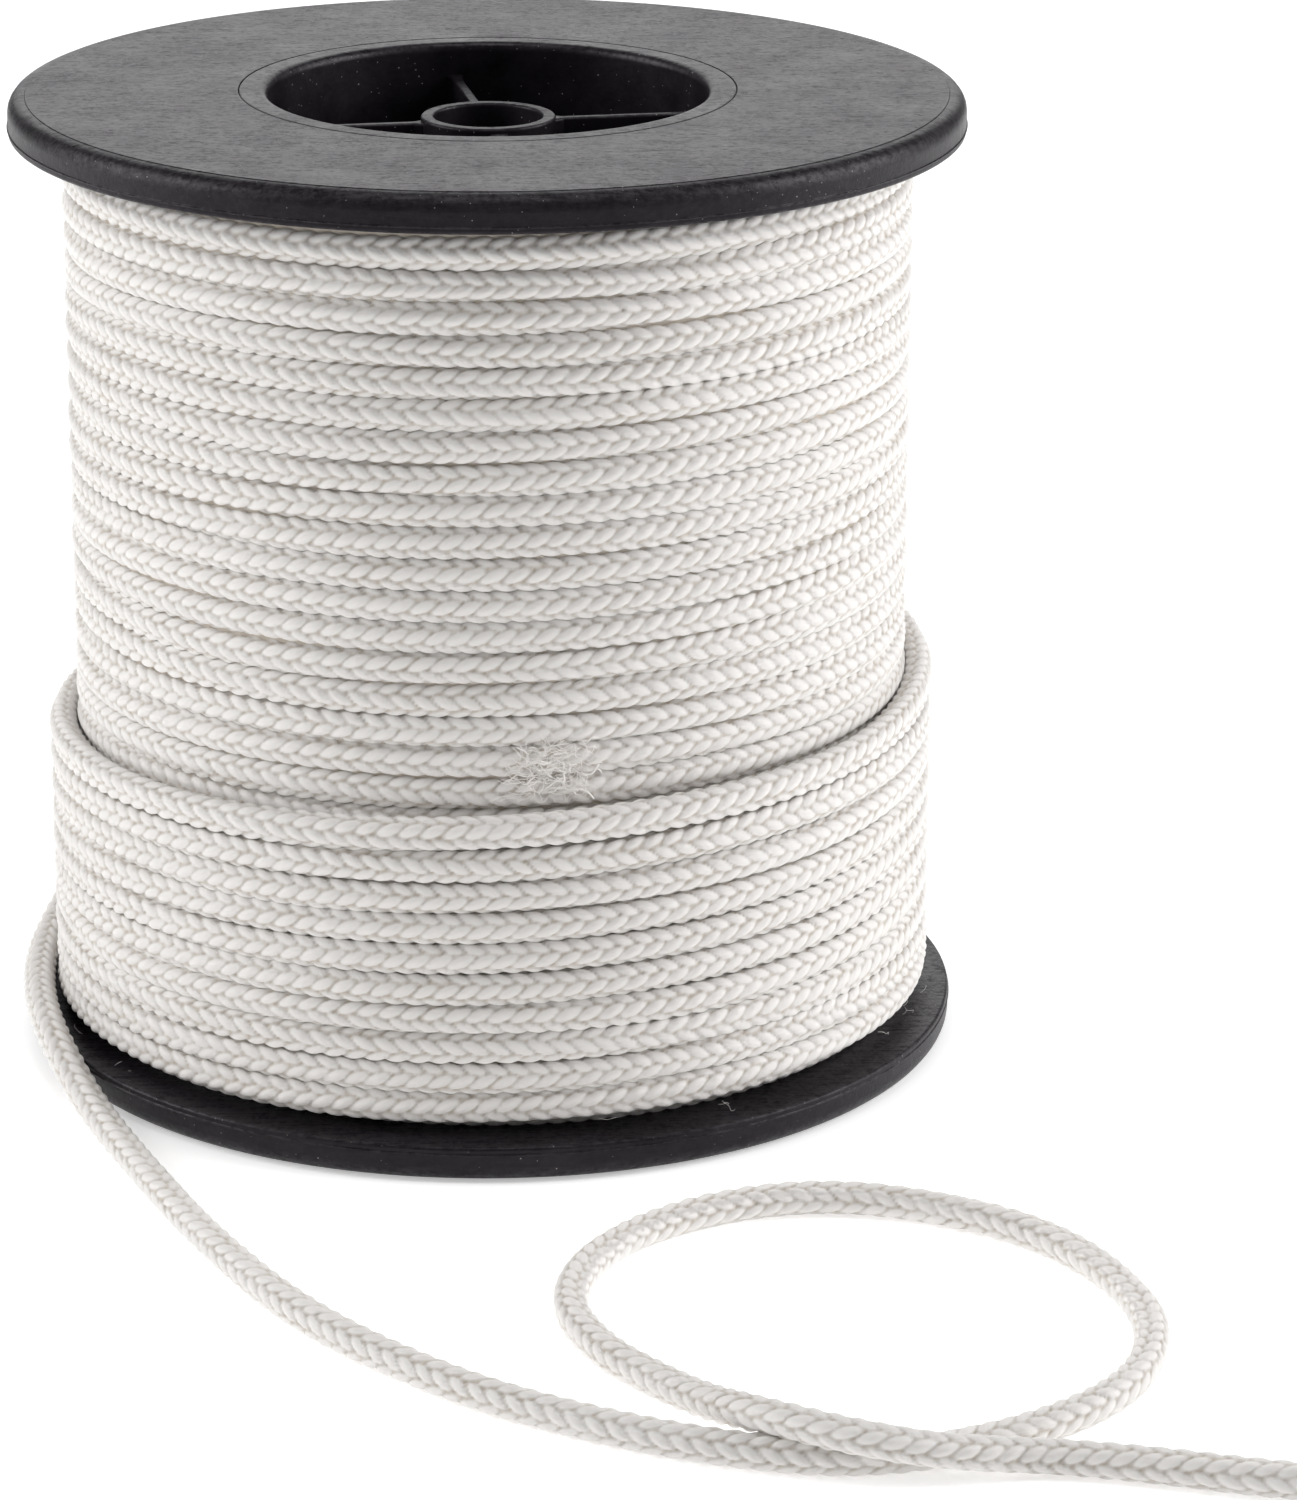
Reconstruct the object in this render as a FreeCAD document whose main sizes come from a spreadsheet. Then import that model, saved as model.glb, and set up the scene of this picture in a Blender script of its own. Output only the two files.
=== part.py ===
"""String reel: a black plastic spool, wound with white braided cord, standing on one flange.

The axis of the reel is +Z and the table is z = 0. The origin is the middle of the bottom flange.
The spool is two pressed-on flanges, a barrel tube, and a spindle tube held by four thin ribs.
The cord's free end leaves the last layer behind the reel, comes round the left side over the
bottom flange, and lies on the table in one loop.
"""
import FreeCAD, Part
import Sketcher
import math
import os

os.makedirs("parts", exist_ok=True)
doc = FreeCAD.newDocument("string_reel")

# ---------------------------------------------------------------- driving sizes, in millimetres
SIZES = [
    ("reel_height", 104.7),
    ("flange_diameter", 102.0),
    ("flange_thickness", 4.0),
    ("rim_outer_rounding", 1.7),
    ("rim_inner_rounding", 0.5),
    ("rim_bead", 0.12),
    ("rim_bead_depth", 0.75),
    ("barrel_diameter", 53.0),
    ("barrel_wall", 3.05),
    ("mouth_bevel", 0.4),
    ("seam_bevel", 0.2),
    ("spindle_bore", 11.6),
    ("spindle_wall", 1.4),
    ("spindle_recess", 3.0),
    ("spindle_bevel", 0.3),
    ("rib_thickness", 1.1),
    ("rib_step", 0.5),
    ("rib_turn", 9.0),
    ("cord_diameter", 3.2),
    ("rim_above_cord", 5.5),
    ("last_layer_depth", 3.0),
    ("last_layer_top", 38.5),
    ("layer_rounding", 1.4),
]
RIB_COUNT = 4

sheet = doc.addObject("Spreadsheet::Sheet", "sizes")
for row, (alias, value) in enumerate(SIZES, start=1):
    sheet.set("A%d" % row, alias)
    sheet.set("B%d" % row, str(value))
    sheet.setAlias("B%d" % row, alias)
doc.recompute()

# Sizes that several pieces share, as expressions of the sheet.
FLANGE_R = "sizes.flange_diameter / 2"
BARREL_OUTER_R = "sizes.barrel_diameter / 2"
BARREL_INNER_R = "(sizes.barrel_diameter / 2 - sizes.barrel_wall)"
SPINDLE_INNER_R = "sizes.spindle_bore / 2"
SPINDLE_OUTER_R = "(sizes.spindle_bore / 2 + sizes.spindle_wall)"
SPINDLE_TOP = "(sizes.reel_height - sizes.spindle_recess)"
WOUND_R = "(sizes.flange_diameter / 2 - sizes.rim_above_cord)"
LAST_LAYER_R = "(sizes.flange_diameter / 2 - sizes.rim_above_cord + sizes.last_layer_depth)"

# The free end of the cord, in mm: x, y and the height of the cord's middle. It leaves the last
# turn behind the reel, slants down over the lower turns, rests on the bottom flange, passes over
# its rim and lies on the table, where one loop crosses over the first stretch.
CORD_ROUTE = [
    (38.5, 27.0, 41.8),
    (33.0, 33.5, 42.2),
    (24.0, 42.0, 42.0),
    (12.5, 48.0, 39.8),
    (-0.5, 51.0, 35.0),
    (-13.5, 49.5, 29.0),
    (-26.0, 44.0, 23.0),
    (-36.5, 35.5, 17.0),
    (-44.5, 25.0, 11.5),
    (-49.2, 13.0, 7.0),
    (-50.6, 1.0, 5.8),
    (-49.8, -11.5, 5.9),
    (-47.3, -22.5, 5.0),
    (-42.7, -34.0, 2.0),
    (-36.1, -50.5, 1.6),
    (-28.6, -68.5, 1.6),
    (-18.5, -87.5, 1.6),
    (-4.5, -102.5, 1.6),
    (7.5, -110.8, 1.6),
    (20.0, -116.8, 1.6),
    (34.0, -120.2, 1.6),
    (49.0, -115.0, 1.6),
    (60.5, -105.0, 1.6),
    (64.5, -91.5, 1.6),
    (61.5, -78.5, 1.6),
    (55.0, -68.0, 1.6),
    (45.0, -61.0, 1.6),
    (33.0, -57.8, 1.6),
    (20.5, -61.8, 1.6),
    (10.5, -71.0, 1.6),
    (6.5, -84.0, 1.6),
    (10.0, -95.0, 1.6),
    (15.3, -102.3, 1.7),
    (20.0, -109.3, 2.6),
    (24.5, -116.5, 4.75),
    (32.5, -121.2, 4.75),
    (41.5, -121.2, 3.0),
    (50.0, -119.0, 1.6),
    (59.5, -121.0, 1.6),
    (71.0, -124.5, 1.6),
    (84.5, -127.2, 1.6),
    (98.5, -131.0, 1.6),
]


# ---------------------------------------------------------------- helpers
def value(alias):
    """A size from the sheet, as a plain number."""
    return float(getattr(sheet, alias))


def new_body(name):
    """A body whose label names its file."""
    body = doc.addObject("PartDesign::Body", name)
    body.Label = name
    return body


def origin_plane(body, role):
    """One of the body's own origin planes."""
    return next(feature for feature in body.Origin.OriginFeatures if feature.Role == role)


def ring_sketch(body, name, inner, outer, bottom, top):
    """A rectangle beside the Z axis, for turning into a ring. A bottom of None is z = 0."""
    sketch = body.newObject("Sketcher::SketchObject", name)
    sketch.AttachmentSupport = [(origin_plane(body, "XZ_Plane"), "")]
    sketch.MapMode = "FlatFace"
    corners = [(10, 1), (20, 1), (20, 5), (10, 5)]
    for start, end in zip(corners, corners[1:] + corners[:1]):
        a = FreeCAD.Vector(start[0], start[1], 0)
        b = FreeCAD.Vector(end[0], end[1], 0)
        sketch.addGeometry(Part.LineSegment(a, b), False)
    for side in range(4):
        sketch.addConstraint(Sketcher.Constraint("Coincident", side, 2, (side + 1) % 4, 1))
        direction = "Horizontal" if side % 2 == 0 else "Vertical"
        sketch.addConstraint(Sketcher.Constraint(direction, side))
    bind(sketch, "DistanceX", 0, 1, inner)
    bind(sketch, "DistanceX", 1, 1, outer)
    bind(sketch, "DistanceY", 2, 1, top)
    if bottom is None:
        sketch.addConstraint(Sketcher.Constraint("PointOnObject", 0, 1, -1))
    else:
        bind(sketch, "DistanceY", 0, 1, bottom)
    doc.recompute()
    return sketch


def bind(sketch, kind, line, end, expression):
    """Fix a point's distance from the sketch's origin to an expression of the sheet."""
    index = sketch.addConstraint(Sketcher.Constraint(kind, -1, 1, line, end, 12.0))
    sketch.setExpression("Constraints[%d]" % index, expression)


def turn(body, sketch, name):
    """Turn a sketch once about the Z axis, and add it to the body."""
    revolution = body.newObject("PartDesign::Revolution", name)
    revolution.Profile = sketch
    revolution.ReferenceAxis = (sketch, ["V_Axis"])
    revolution.Angle = 360
    sketch.Visibility = False
    doc.recompute()
    return revolution


def round_edges(body, kind, name, radius, height, size):
    """Round or bevel the circular edge of the body's last feature at this radius and height."""
    base = body.Tip
    names = []
    for number, edge in enumerate(base.Shape.Edges, start=1):
        if not isinstance(edge.Curve, Part.Circle):
            continue
        same_radius = abs(edge.Curve.Radius - radius) < 1e-4
        if same_radius and abs(edge.Curve.Center.z - height) < 1e-4:
            names.append("Edge%d" % number)
    if not names:
        raise ValueError("%s: no edge at radius %g, height %g" % (name, radius, height))
    feature = body.newObject("PartDesign::" + kind, name)
    feature.Base = (base, names)
    feature.setExpression("Radius" if kind == "Fillet" else "Size", size)
    doc.recompute()
    return feature


def export(node):
    """Check a finished piece and write its file."""
    doc.recompute()
    for item in doc.Objects:
        if "Invalid" in item.State or "Error" in item.State:
            raise ValueError("%s is %s" % (item.Label, item.State))
    shape = node.Shape
    if shape.isNull() or not shape.isValid():
        raise ValueError("%s has no valid shape" % node.Label)
    shape.exportStep("parts/%s.step" % node.Label)
    print("%s: %.1f mm3" % (node.Label, shape.Volume))


# ---------------------------------------------------------------- flanges
def make_flange(name, upside_down):
    """A flange: a flat ring with a rounded rim and a fine bead where the mould parts."""
    body = new_body(name)
    disc = ring_sketch(body, name + "_disc", BARREL_OUTER_R, FLANGE_R + " - sizes.rim_bead",
                       None, "sizes.flange_thickness")
    turn(body, disc, name + "_turned")
    rim = value("flange_diameter") / 2 - value("rim_bead")
    hole = value("barrel_diameter") / 2
    thickness = value("flange_thickness")
    round_edges(body, "Fillet", name + "_outer_edge", rim, 0, "sizes.rim_outer_rounding")
    round_edges(body, "Fillet", name + "_inner_edge", rim, thickness, "sizes.rim_inner_rounding")
    round_edges(body, "Chamfer", name + "_seam", hole, 0, "sizes.seam_bevel")
    bead_middle = "sizes.flange_thickness - sizes.rim_bead_depth"
    bead = ring_sketch(body, name + "_bead", FLANGE_R + " - 3 * sizes.rim_bead", FLANGE_R,
                       bead_middle + " - sizes.rim_bead", bead_middle + " + sizes.rim_bead")
    turn(body, bead, name + "_bead_turned")
    if upside_down:
        body.Placement = FreeCAD.Placement(
            FreeCAD.Vector(0, 0, 0), FreeCAD.Rotation(FreeCAD.Vector(1, 0, 0), 180))
        body.setExpression("Placement.Base.z", "sizes.reel_height")
    return body


# ---------------------------------------------------------------- barrel and hub
def make_barrel_tube():
    """The tube that the cord is wound on. Its ends lie flush in the flanges' outer faces."""
    body = new_body("barrel_tube")
    wall = ring_sketch(body, "barrel_wall_section", BARREL_INNER_R, BARREL_OUTER_R,
                       None, "sizes.reel_height")
    turn(body, wall, "barrel_turned")
    outer = value("barrel_diameter") / 2
    inner = outer - value("barrel_wall")
    for end, height in (("bottom", 0), ("top", value("reel_height"))):
        round_edges(body, "Chamfer", end + "_mouth", inner, height, "sizes.mouth_bevel")
        round_edges(body, "Chamfer", end + "_seam", outer, height, "sizes.seam_bevel")
    return body


def make_spindle_tube():
    """The small tube in the middle, which turns on a spindle."""
    body = new_body("spindle_tube")
    wall = ring_sketch(body, "spindle_wall_section", SPINDLE_INNER_R, SPINDLE_OUTER_R,
                       "sizes.spindle_recess", SPINDLE_TOP)
    turn(body, wall, "spindle_turned")
    inner = value("spindle_bore") / 2
    recess = value("spindle_recess")
    for end, height in (("bottom", recess), ("top", value("reel_height") - recess)):
        round_edges(body, "Chamfer", end + "_lead_in", inner, height, "sizes.spindle_bevel")
    return body


def cylinder(name, radius, bottom, top):
    """A plain cylinder on the Z axis between two heights."""
    solid = doc.addObject("Part::Cylinder", name)
    solid.setExpression("Radius", radius)
    solid.setExpression("Height", "%s - %s" % (top, bottom))
    solid.setExpression("Placement.Base.z", bottom)
    return solid


def make_hub_rib(number):
    """One thin web from the spindle tube to the barrel tube, cut to both curves."""
    bottom = "(sizes.spindle_recess + sizes.rib_step)"
    top = "(sizes.reel_height - sizes.spindle_recess - sizes.rib_step)"
    angle = "(sizes.rib_turn + %g)" % (360 / RIB_COUNT * (number - 1))
    web = doc.addObject("Part::Box", "web_%d" % number)
    web.setExpression("Length", BARREL_OUTER_R)
    web.setExpression("Width", "sizes.rib_thickness")
    web.setExpression("Height", "%s - %s" % (top, bottom))
    web.Placement.Rotation = FreeCAD.Rotation(FreeCAD.Vector(0, 0, 1), value("rib_turn"))
    web.setExpression("Placement.Rotation.Angle", "%s * 1deg" % angle)
    web.setExpression("Placement.Base.x", "sizes.rib_thickness / 2 * sin(%s * 1deg)" % angle)
    web.setExpression("Placement.Base.y", "-sizes.rib_thickness / 2 * cos(%s * 1deg)" % angle)
    web.setExpression("Placement.Base.z", bottom)
    gap = doc.addObject("Part::Cut", "hub_gap_%d" % number)
    gap.Base = cylinder("gap_outer_%d" % number, BARREL_INNER_R, bottom, top)
    gap.Tool = cylinder("gap_inner_%d" % number, SPINDLE_OUTER_R, bottom, top)
    rib = doc.addObject("Part::Common", "hub_rib_%d" % number)
    rib.Base = web
    rib.Tool = gap
    rib.Label = "hub_rib_%d" % number
    return rib


# ---------------------------------------------------------------- cord
def make_winding(name, inner, outer, top, top_value):
    """A closed solid of the outer shape of one stretch of the wound cord."""
    body = new_body(name)
    section = ring_sketch(body, name + "_section", inner, outer, "sizes.flange_thickness", top)
    turn(body, section, name + "_turned")
    radius = body.Tip.Shape.BoundBox.XMax
    for end, height in (("bottom", value("flange_thickness")), ("top", top_value)):
        round_edges(body, "Fillet", "%s_%s" % (name, end), radius, height, "sizes.layer_rounding")
    return body


def cord_path(points):
    """Straight runs joined by tangent arcs, each as large as its two runs allow."""
    points = [FreeCAD.Vector(*point) for point in points]
    edges = []
    start = points[0]
    for before, corner, after in zip(points, points[1:], points[2:]):
        back = before - corner
        ahead = after - corner
        half_turn = (math.pi - back.getAngle(ahead)) / 2
        tangent = 0.45 * min(back.Length, ahead.Length)
        radius = tangent / math.tan(half_turn)
        back.normalize()
        ahead.normalize()
        arc_start = corner + back * tangent
        arc_end = corner + ahead * tangent
        middle = (back + ahead).normalize()
        arc_middle = corner + middle * (radius / math.cos(half_turn) - radius)
        edges.append(Part.LineSegment(start, arc_start).toShape())
        edges.append(Part.Arc(arc_start, arc_middle, arc_end).toShape())
        print("turn %.0f degrees, radius %.1f mm" % (math.degrees(2 * half_turn), radius))
        start = arc_end
    edges.append(Part.LineSegment(start, points[-1]).toShape())
    return Part.Wire(edges)


def make_cord_tail():
    """The free end of the cord, as a plain round tube."""
    radius = value("cord_diameter") / 2
    path = cord_path(CORD_ROUTE)
    first = FreeCAD.Vector(*CORD_ROUTE[0])
    direction = FreeCAD.Vector(*CORD_ROUTE[1]) - first
    circle = Part.Wire(Part.Circle(first, direction, radius).toShape())
    tube = path.makePipeShell([circle], True, False)
    expected = math.pi * radius ** 2 * path.Length
    print("cord tail %.1f mm, volume / expected %.5f" % (path.Length, tube.Volume / expected))
    tail = doc.addObject("Part::Feature", "cord_tail")
    tail.Shape = tube
    tail.Placement = FreeCAD.Placement()
    tail.Label = "cord_tail"
    return tail


# ---------------------------------------------------------------- the reel
pieces = [
    make_flange("bottom_flange", False),
    make_flange("top_flange", True),
    make_barrel_tube(),
    make_spindle_tube(),
]
for rib_number in range(1, RIB_COUNT + 1):
    pieces.append(make_hub_rib(rib_number))
wound_top = value("reel_height") - value("flange_thickness")
pieces.append(make_winding("wound_cord", BARREL_OUTER_R, WOUND_R,
                           "sizes.reel_height - sizes.flange_thickness", wound_top))
pieces.append(make_winding("last_cord_layer", WOUND_R, LAST_LAYER_R,
                           "sizes.last_layer_top", value("last_layer_top")))
pieces.append(make_cord_tail())
for piece in pieces:
    export(piece)
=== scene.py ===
"""A two-flanged plastic reel, standing on end and wound with white braided cord."""

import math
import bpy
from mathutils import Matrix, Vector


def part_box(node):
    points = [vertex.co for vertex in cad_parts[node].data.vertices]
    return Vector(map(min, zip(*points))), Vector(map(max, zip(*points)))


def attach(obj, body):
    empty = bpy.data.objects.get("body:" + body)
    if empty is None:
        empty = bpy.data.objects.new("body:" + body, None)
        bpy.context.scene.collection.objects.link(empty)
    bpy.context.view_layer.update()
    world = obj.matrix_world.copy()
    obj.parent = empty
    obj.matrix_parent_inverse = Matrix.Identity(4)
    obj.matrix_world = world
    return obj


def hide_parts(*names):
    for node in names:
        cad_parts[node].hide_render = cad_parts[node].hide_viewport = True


bl_info = {
    "name": "Wound Cord Reel",
    "version": (1, 0, 0),
    "blender": (4, 5, 0),
    "location": "View3D > Sidebar > Cord Reel",
    "description": "Builds a moulded reel wound with braided cord, piece by piece",
    "category": "Object",
}

import bmesh
import bpy
import numpy as np
from bpy.props import FloatProperty, FloatVectorProperty, IntProperty, PointerProperty
from mathutils import Matrix, Vector

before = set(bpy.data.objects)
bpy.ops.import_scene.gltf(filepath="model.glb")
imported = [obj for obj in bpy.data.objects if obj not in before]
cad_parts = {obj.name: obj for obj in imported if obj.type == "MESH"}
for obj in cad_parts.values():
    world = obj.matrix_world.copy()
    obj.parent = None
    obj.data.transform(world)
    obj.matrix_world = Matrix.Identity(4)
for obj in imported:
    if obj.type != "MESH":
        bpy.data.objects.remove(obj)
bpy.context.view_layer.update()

MM = 0.001
TURN = 2 * math.pi
BACK = math.radians(90)


def radius_of(node):
    """Outer radius of a round node that stands on the reel's axis."""
    low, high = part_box(node)
    return (high.x - low.x) / 2


def linear(code):
    """Turn an sRGB hex colour into linear red, green, blue and alpha."""
    parts = [int(code[i : i + 2], 16) / 255 for i in (0, 2, 4)]
    return [
        *(p / 12.92 if p <= 0.04045 else ((p + 0.055) / 1.055) ** 2.4 for p in parts),
        1.0,
    ]


# The free end's route, from where it leaves the last layer at the back, round the
# left side and over the flange, then one loop on the table.  Metres, shared frame.
CORD_ROUTE = [
    (0.0385, 0.0270, 0.0418), (0.0330, 0.0335, 0.0422), (0.0240, 0.0420, 0.0420),
    (0.0125, 0.0480, 0.0398), (-0.0005, 0.0510, 0.0350), (-0.0135, 0.0495, 0.0290),
    (-0.0260, 0.0440, 0.0230), (-0.0365, 0.0355, 0.0170), (-0.0445, 0.0250, 0.0115),
    (-0.0492, 0.0130, 0.0070), (-0.0506, 0.0010, 0.0058), (-0.0498, -0.0115, 0.0059),
    (-0.0473, -0.0225, 0.0050), (-0.0427, -0.0340, 0.0020), (-0.0361, -0.0505, 0.0016),
    (-0.0286, -0.0685, 0.0016), (-0.0185, -0.0875, 0.0016), (-0.0045, -0.1025, 0.0016),
    (0.0075, -0.1108, 0.0016), (0.0200, -0.1168, 0.0016), (0.0340, -0.1202, 0.0016),
    (0.0490, -0.1150, 0.0016), (0.0605, -0.1050, 0.0016), (0.0645, -0.0915, 0.0016),
    (0.0615, -0.0785, 0.0016), (0.0550, -0.0680, 0.0016), (0.0450, -0.0610, 0.0016),
    (0.0330, -0.0578, 0.0016), (0.0205, -0.0618, 0.0016), (0.0105, -0.0710, 0.0016),
    (0.0065, -0.0840, 0.0016), (0.0100, -0.0950, 0.0016), (0.0153, -0.1023, 0.0017),
    (0.0200, -0.1093, 0.0026), (0.0245, -0.1165, 0.00475), (0.0325, -0.1212, 0.00475),
    (0.0415, -0.1212, 0.0030), (0.0500, -0.1190, 0.0016), (0.0595, -0.1210, 0.0016),
    (0.0710, -0.1245, 0.0016), (0.0845, -0.1272, 0.0016), (0.0985, -0.1310, 0.0016),
]


class REEL_PG_spool(bpy.types.PropertyGroup):
    """Sizes of the moulded spool."""

    flange_radius: FloatProperty(
        name="Flange radius",
        description="Outer radius of both flanges",
        default=radius_of("bottom_flange"),
        unit="LENGTH",
    )
    flange_thickness: FloatProperty(
        name="Flange thickness",
        description="Thickness of one flange",
        default=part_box("bottom_flange")[1].z,
        unit="LENGTH",
    )
    height: FloatProperty(
        name="Height",
        description="Height of the reel from outer face to outer face",
        default=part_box("top_flange")[1].z,
        unit="LENGTH",
    )
    rim_rounding: FloatProperty(
        name="Rim rounding",
        description="Radius of the flange's outer edge",
        default=1.7 * MM,
        unit="LENGTH",
    )
    barrel_radius: FloatProperty(
        name="Barrel radius",
        description="Outer radius of the barrel that the cord is wound on",
        default=radius_of("barrel_tube"),
        unit="LENGTH",
    )
    barrel_wall: FloatProperty(
        name="Barrel wall",
        description="Wall of the barrel",
        default=3.05 * MM,
        unit="LENGTH",
    )
    spindle_wall: FloatProperty(
        name="Spindle tube wall",
        description="Wall of the small tube in the hub",
        default=1.4 * MM,
        unit="LENGTH",
    )
    rib_thickness: FloatProperty(
        name="Rib thickness",
        description="Thickness of a hub rib",
        default=1.1 * MM,
        unit="LENGTH",
    )
    rib_turn: FloatProperty(
        name="Rib turn",
        description="Angle of the first rib from the X axis",
        default=math.radians(9),
        subtype="ANGLE",
    )


class REEL_PG_cord(bpy.types.PropertyGroup):
    """Sizes of the braided cord and its winding."""

    diameter: FloatProperty(
        name="Cord diameter",
        description="Diameter of the cord",
        default=3.2 * MM,
        unit="LENGTH",
    )
    turn_pitch: FloatProperty(
        name="Turn pitch",
        description="Distance from one wound turn to the next",
        default=3.33 * MM,
        unit="LENGTH",
    )
    wales: IntProperty(
        name="Wales",
        description="Rows of stitches round the cord, an even number",
        default=6,
    )
    stitch: FloatProperty(
        name="Stitch length",
        description="Length of one stitch along the cord",
        default=2.2 * MM,
        unit="LENGTH",
    )
    relief: FloatProperty(
        name="Stitch relief",
        description="How far the strands dip between their crowns",
        default=0.42 * MM,
        unit="LENGTH",
    )


class REEL_PG_finish(bpy.types.PropertyGroup):
    """Colours of the finishes."""

    plastic: FloatVectorProperty(
        name="Plastic",
        description="Colour of the moulded plastic",
        subtype="COLOR",
        size=4,
        default=linear("141115"),
    )
    yarn: FloatVectorProperty(
        name="Yarn",
        description="Colour of the braid's crowns",
        subtype="COLOR",
        size=4,
        default=linear("efece9"),
    )
    # Painted shade: the warm grey that the yarn material lays in the dips between
    # strands and over the buried turns, in place of their shadow.
    painted_groove_shade: FloatVectorProperty(
        name="Groove",
        description="Colour of the braid between its strands",
        subtype="COLOR",
        size=4,
        default=linear("cdc3b6"),
    )
    table: FloatVectorProperty(
        name="Table",
        description="Colour of the table top",
        subtype="COLOR",
        size=4,
        default=linear("fbfbfb"),
    )


# ---------------------------------------------------------------- small helpers


def make_object(name, mesh, slot, *nodes):
    """Link a finished mesh as a piece that rides on the reel."""
    for polygon in mesh.polygons:
        polygon.use_smooth = True
    piece = bpy.data.objects.new(name, mesh)
    bpy.context.collection.objects.link(piece)
    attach(piece, "root")
    if nodes:
        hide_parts(*nodes)
    return piece


def to_mesh(bm, name):
    """Write a bmesh to a new mesh and free it."""
    mesh = bpy.data.meshes.new(name)
    bm.to_mesh(mesh)
    bm.free()
    return mesh


def outline_with_supports(corners, margin):
    """Add a point each side of every rounded corner, so that flat faces stay flat."""
    points = []
    for i, (radius, height, rounding) in enumerate(corners):
        here = Vector((radius, 0, height))
        if not rounding:
            points.append((here, 0.0))
            continue
        before = Vector((corners[i - 1][0], 0, corners[i - 1][1]))
        after = corners[(i + 1) % len(corners)]
        after = Vector((after[0], 0, after[1]))
        reach = rounding + margin
        points.append((here + (before - here).normalized() * reach, 0.0))
        points.append((here, rounding))
        points.append((here + (after - here).normalized() * reach, 0.0))
    return points


def turned(name, corners, steps=288, margin=0.12 * MM):
    """Spin an outline of (radius, height, rounding) corners once about the axis."""
    bm = bmesh.new()
    points = outline_with_supports(corners, margin)
    verts = [bm.verts.new(point) for point, _ in points]
    for i, vert in enumerate(verts):
        bm.edges.new((vert, verts[(i + 1) % len(verts)]))
    for vert, (_, rounding) in zip(verts, points):
        if rounding:
            bmesh.ops.bevel(
                bm,
                geom=[vert],
                offset=rounding,
                offset_type="OFFSET",
                segments=6,
                profile=0.5,
                affect="VERTICES",
                material=-1,
            )
    bmesh.ops.spin(
        bm,
        geom=bm.verts[:] + bm.edges[:],
        cent=(0, 0, 0),
        axis=(0, 0, 1),
        angle=TURN,
        steps=steps,
        use_merge=True,
    )
    bmesh.ops.remove_doubles(bm, verts=bm.verts, dist=1e-7)
    bmesh.ops.recalc_face_normals(bm, faces=bm.faces)
    return to_mesh(bm, name)


def add_node(tree, kind, settings=None, links=None):
    """Add one node, give it its settings, and fill or link its inputs."""
    node = tree.nodes.new(kind)
    for name, value in (settings or {}).items():
        setattr(node, name, value)
    for name, value in (links or {}).items():
        socket = node.inputs[name]
        if isinstance(value, bpy.types.NodeSocket):
            tree.links.new(value, socket)
        else:
            socket.default_value = value
    return node


def new_material(name):
    """Start a material with an output and nothing else."""
    material = bpy.data.materials.new(name)
    material.use_nodes = True
    material.node_tree.nodes.clear()
    return material, material.node_tree


def finish_material(tree, shader):
    """Link a shader to the material's output."""
    add_node(tree, "ShaderNodeOutputMaterial", None, {"Surface": shader.outputs[0]})


def ramp(tree, value, stops):
    """A colour ramp with the given (place, colour) stops."""
    node = add_node(tree, "ShaderNodeValToRGB", None, {"Fac": value})
    elements = node.color_ramp.elements
    for i, (place, colour) in enumerate(stops):
        element = elements[i] if i < 2 else elements.new(place)
        element.position = place
        element.color = colour
    return node.outputs["Color"]


# -------------------------------------------------------------------- the braid


# How far a strand leans per wale, and how steeply a crown falls away along its
# stitch and towards the next wale.
STRAND_LEAN = 0.78
STITCH_FALL = 2.7
WALE_FALL = 2.4


def braid_surface(stitches, around):
    """Height of the braid from 0 to 1, and the place on the strand that shows there.

    Each wale is a row of crowns that lean one way, its neighbours lean the other
    way and sit half a stitch along, and the higher crown hides the lower one.
    """
    height = np.full(around.shape, -9.0)
    across = np.zeros(around.shape)
    along = np.zeros(around.shape)
    shade = np.zeros(around.shape)
    for step in (-1, 0, 1):
        wale = np.floor(around) + step
        odd = wale % 2
        t = around - wale - 0.5
        place = stitches + (1 - 2 * odd) * STRAND_LEAN * t + 0.5 * odd
        e = place - np.floor(place) - 0.5
        crown = 1 - STITCH_FALL * e**2 - WALE_FALL * t**2
        higher = crown > height
        height = np.where(higher, crown, height)
        across = np.where(higher, e, across)
        # Far-apart numbers give every stitch its own stretch of the filament pattern.
        along = np.where(higher, t + 7.3 * np.floor(place) + 3.1 * wale, along)
        # Each crown catches the light a little differently, by a fixed scatter.
        scatter = np.sin(12.9898 * np.floor(place) + 78.233 * wale) * 43758.5453
        shade = np.where(higher, scatter - np.floor(scatter), shade)
    return np.clip(height, 0, 1), across, along, shade


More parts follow.
